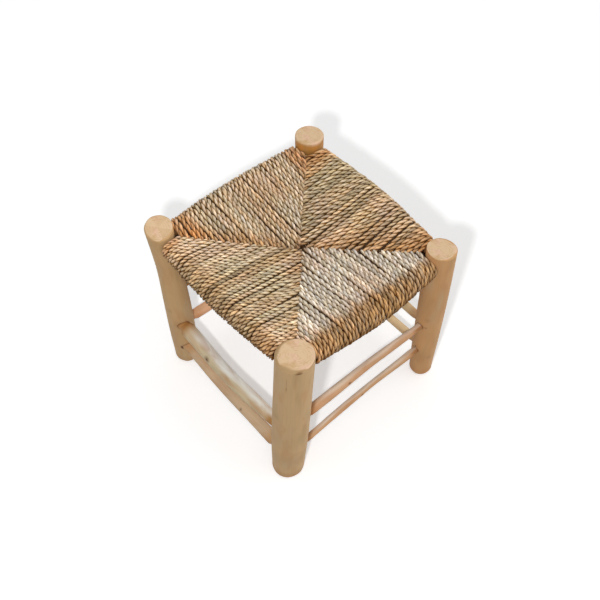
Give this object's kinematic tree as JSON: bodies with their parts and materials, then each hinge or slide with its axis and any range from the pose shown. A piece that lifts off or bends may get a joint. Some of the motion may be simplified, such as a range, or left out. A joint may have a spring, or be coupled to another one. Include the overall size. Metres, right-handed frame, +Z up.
{
  "type": "woven stool",
  "caption": "Low square stool of peeled round poles with a dished seat wound from twisted palm cord in triangles, used to sit on or to rest the feet on.",
  "frame": {"origin": "middle of the stool's outline in plan, at the floor under its feet", "axes": "+Z up, -Y to the front (the side with the thickest stretcher), +X to the right for someone who looks at the front"},
  "size_m": [0.3468, 0.3396, 0.3334],
  "materials": {
    "leg_wood": "peeled and sanded pole, bare, satin",
    "pole_wood": "peeled thin pole, bare, satin",
    "palm_cord": "twisted palm leaf cord, dry and matt with glossy fibres"
  },
  "bodies": {
    "root": {"seat_rail_front": "pole_wood", "seat_rail_right": "pole_wood", "seat_rail_back": "pole_wood", "seat_rail_left": "pole_wood", "stretcher_front_upper": "pole_wood", "stretcher_front_lower": "pole_wood", "stretcher_right_upper": "pole_wood", "stretcher_right_lower": "pole_wood", "stretcher_back_upper": "pole_wood", "stretcher_back_lower": "pole_wood", "stretcher_left_upper": "pole_wood", "stretcher_left_lower": "pole_wood", "leg_front_left": "leg_wood", "leg_front_right": "leg_wood", "leg_back_right": "leg_wood", "leg_back_left": "leg_wood", "woven_seat": "palm_cord"}
  },
  "joints": []
}
